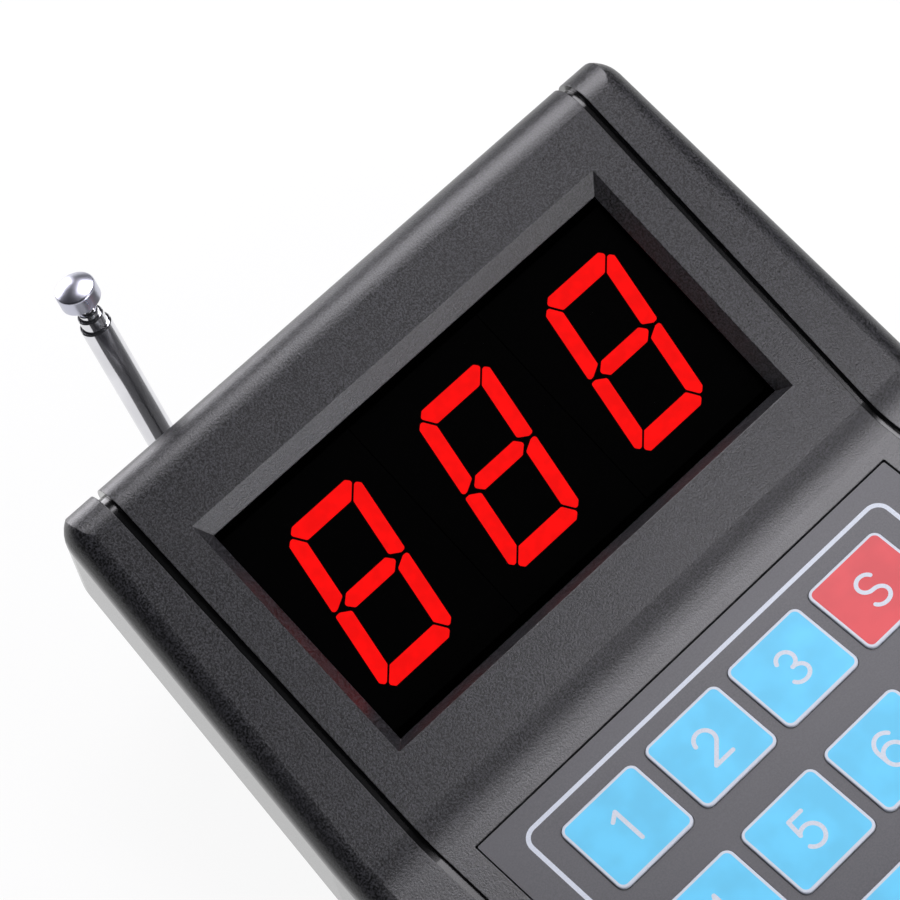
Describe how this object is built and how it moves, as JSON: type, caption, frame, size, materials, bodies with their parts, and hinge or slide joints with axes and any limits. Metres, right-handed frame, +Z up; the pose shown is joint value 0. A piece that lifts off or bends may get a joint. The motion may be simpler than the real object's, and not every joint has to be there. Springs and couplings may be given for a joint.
{
  "type": "guest pager transmitter",
  "caption": "Desk keypad transmitter for calling guest pagers: sloping display with lit digits, membrane keys and a folding telescopic antenna.",
  "frame": {"origin": "on the desk under the rubber feet, midway across the case and midway between its front and the antenna's back", "axes": "+X to the right of a person at the keypad, +Y towards the display and antenna, +Z up"},
  "size_m": [0.1352, 0.2014, 0.0795],
  "materials": {
    "case_plastic": "fine spark-eroded grain",
    "base_plastic": "fine spark-eroded grain",
    "window": "polished dark red filter",
    "digit_face": "matt black",
    "digit_light": "lit red diffuser",
    "circuit_board": "solder mask",
    "printed_film": "printed polyester film",
    "overlay_film": "printed polyester film, fine texture",
    "spring_steel": "pressed",
    "key_blue": "printed polyester film, fine texture",
    "key_red": "printed polyester film, fine texture",
    "flat_cable": "flat cable",
    "connector_plastic": "moulded",
    "tinned_can": "tin plate",
    "chip_plastic": "moulded",
    "buzzer_plastic": "moulded",
    "capacitor_can": "drawn can",
    "jack_plastic": "moulded",
    "screw_steel": "zinc plated",
    "foot_rubber": "moulded",
    "antenna_fitting": "nickel plated",
    "antenna_chrome": "bright chrome plate",
    "lead_sheath": "extruded"
  },
  "bodies": {
    "case": {"upper_case": "case_plastic", "lower_case": "base_plastic", "display_lens": "window", "digit_module_left": "digit_face", "digit_segments_left": "digit_light", "digit_module_middle": "digit_face", "digit_segments_middle": "digit_light", "digit_module_right": "digit_face", "digit_segments_right": "digit_light", "display_board": "circuit_board", "membrane_circuit": "printed_film", "keypad_overlay": "overlay_film", "key_domes": "spring_steel", "keypad_tail": "flat_cable", "keypad_connector": "connector_plastic", "display_ribbon": "flat_cable", "display_connector": "connector_plastic", "main_board": "circuit_board", "radio_shield": "tinned_can", "radio_chip": "chip_plastic", "processor_chip": "chip_plastic", "buzzer": "buzzer_plastic", "capacitor": "capacitor_can", "dc_jack": "jack_plastic", "case_screws": "screw_steel", "display_screws": "screw_steel", "board_screws": "screw_steel", "rubber_feet": "foot_rubber", "antenna_bush": "antenna_fitting", "antenna_nut": "antenna_fitting", "antenna_lead": "lead_sheath"},
    "swivel": {"antenna_swivel": "antenna_chrome", "pivot_pin": "antenna_chrome"},
    "mast_base_tube": {"antenna_base_tube": "antenna_chrome"},
    "mast_tube_2": {"antenna_tube_2": "antenna_chrome"},
    "mast_tube_3": {"antenna_tube_3": "antenna_chrome"},
    "mast_tube_4": {"antenna_tube_4": "antenna_chrome"},
    "mast_tip": {"antenna_tip": "antenna_chrome"},
    "button_1": {"key_1": "key_blue"},
    "button_2": {"key_2": "key_blue"},
    "button_3": {"key_3": "key_blue"},
    "button_s": {"key_s": "key_red"},
    "button_4": {"key_4": "key_blue"},
    "button_5": {"key_5": "key_blue"},
    "button_6": {"key_6": "key_blue"},
    "button_c": {"key_c": "key_red"},
    "button_7": {"key_7": "key_blue"},
    "button_8": {"key_8": "key_blue"},
    "button_9": {"key_9": "key_blue"},
    "button_plus": {"key_plus": "key_red"},
    "button_star": {"key_star": "key_blue"},
    "button_0": {"key_0": "key_blue"},
    "button_hash": {"key_hash": "key_blue"},
    "button_minus": {"key_minus": "key_red"}
  },
  "joints": [
    {"name": "antenna_turn", "type": "hinge", "parent": "case", "child": "swivel", "pos_m": [-0.03497, 0.08085, 0.0204], "axis": [0, 1, 0], "range_deg": [-90, 90]},
    {"name": "antenna_fold", "type": "hinge", "parent": "swivel", "child": "mast_base_tube", "pos_m": [-0.03497, 0.08935, 0.0204], "axis": [1, 0, 0], "range_deg": [-82.2, 7.8]},
    {"name": "antenna_tube_2_slide", "type": "slide", "parent": "mast_base_tube", "child": "mast_tube_2", "axis": [0, 0.1357, 0.9907], "range_m": [0, 0.0362]},
    {"name": "antenna_tube_3_slide", "type": "slide", "parent": "mast_tube_2", "child": "mast_tube_3", "axis": [0, 0.1357, 0.9907], "range_m": [0, 0.0369]},
    {"name": "antenna_tube_4_slide", "type": "slide", "parent": "mast_tube_3", "child": "mast_tube_4", "axis": [0, 0.1357, 0.9907], "range_m": [0, 0.0363]},
    {"name": "antenna_tip_slide", "type": "slide", "parent": "mast_tube_4", "child": "mast_tip", "axis": [0, 0.1357, 0.9907], "range_m": [0, 0.0357]},
    {"name": "key_1_press", "type": "slide", "parent": "case", "child": "button_1", "axis": [0, 0.061, -0.9981], "range_m": [0, 0.0003], "stiffness_N_per_m": 3000},
    {"name": "key_2_press", "type": "slide", "parent": "case", "child": "button_2", "axis": [0, 0.061, -0.9981], "range_m": [0, 0.0003], "stiffness_N_per_m": 3000},
    {"name": "key_3_press", "type": "slide", "parent": "case", "child": "button_3", "axis": [0, 0.061, -0.9981], "range_m": [0, 0.0003], "stiffness_N_per_m": 3000},
    {"name": "key_s_press", "type": "slide", "parent": "case", "child": "button_s", "axis": [0, 0.061, -0.9981], "range_m": [0, 0.0003], "stiffness_N_per_m": 3000},
    {"name": "key_4_press", "type": "slide", "parent": "case", "child": "button_4", "axis": [0, 0.061, -0.9981], "range_m": [0, 0.0003], "stiffness_N_per_m": 3000},
    {"name": "key_5_press", "type": "slide", "parent": "case", "child": "button_5", "axis": [0, 0.061, -0.9981], "range_m": [0, 0.0003], "stiffness_N_per_m": 3000},
    {"name": "key_6_press", "type": "slide", "parent": "case", "child": "button_6", "axis": [0, 0.061, -0.9981], "range_m": [0, 0.0003], "stiffness_N_per_m": 3000},
    {"name": "key_c_press", "type": "slide", "parent": "case", "child": "button_c", "axis": [0, 0.061, -0.9981], "range_m": [0, 0.0003], "stiffness_N_per_m": 3000},
    {"name": "key_7_press", "type": "slide", "parent": "case", "child": "button_7", "axis": [0, 0.061, -0.9981], "range_m": [0, 0.0003], "stiffness_N_per_m": 3000},
    {"name": "key_8_press", "type": "slide", "parent": "case", "child": "button_8", "axis": [0, 0.061, -0.9981], "range_m": [0, 0.0003], "stiffness_N_per_m": 3000},
    {"name": "key_9_press", "type": "slide", "parent": "case", "child": "button_9", "axis": [0, 0.061, -0.9981], "range_m": [0, 0.0003], "stiffness_N_per_m": 3000},
    {"name": "key_plus_press", "type": "slide", "parent": "case", "child": "button_plus", "axis": [0, 0.061, -0.9981], "range_m": [0, 0.0003], "stiffness_N_per_m": 3000},
    {"name": "key_star_press", "type": "slide", "parent": "case", "child": "button_star", "axis": [0, 0.061, -0.9981], "range_m": [0, 0.0003], "stiffness_N_per_m": 3000},
    {"name": "key_0_press", "type": "slide", "parent": "case", "child": "button_0", "axis": [0, 0.061, -0.9981], "range_m": [0, 0.0003], "stiffness_N_per_m": 3000},
    {"name": "key_hash_press", "type": "slide", "parent": "case", "child": "button_hash", "axis": [0, 0.061, -0.9981], "range_m": [0, 0.0003], "stiffness_N_per_m": 3000},
    {"name": "key_minus_press", "type": "slide", "parent": "case", "child": "button_minus", "axis": [0, 0.061, -0.9981], "range_m": [0, 0.0003], "stiffness_N_per_m": 3000}
  ]
}
